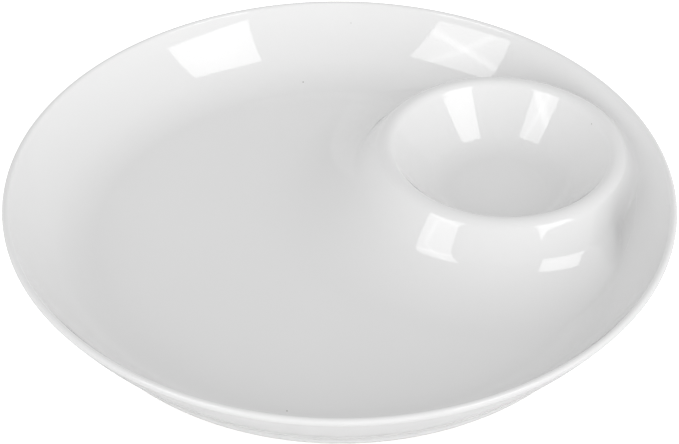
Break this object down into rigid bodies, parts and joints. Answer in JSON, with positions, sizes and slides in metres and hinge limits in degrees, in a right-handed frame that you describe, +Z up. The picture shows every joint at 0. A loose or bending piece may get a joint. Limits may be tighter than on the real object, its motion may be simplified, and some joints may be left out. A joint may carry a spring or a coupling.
{
  "type": "chip and dip server",
  "caption": "Round shallow serving dish in white glazed porcelain with a raised off-centre dip well, a flared wall, a rolled rim and a foot ring.",
  "frame": {"origin": "centre of the circle that the foot ring stands on", "axes": "+Z up, +X from the centre of the dish towards the dip well"},
  "size_m": [0.28, 0.28, 0.0342],
  "materials": {
    "white_glaze": "clear gloss glaze over white porcelain",
    "foot_clay": "glazed sides, bare fired clay on the standing face"
  },
  "bodies": {
    "root": {"dish_body": "white_glaze", "dip_well": "white_glaze", "foot_ring": "foot_clay"}
  },
  "joints": []
}
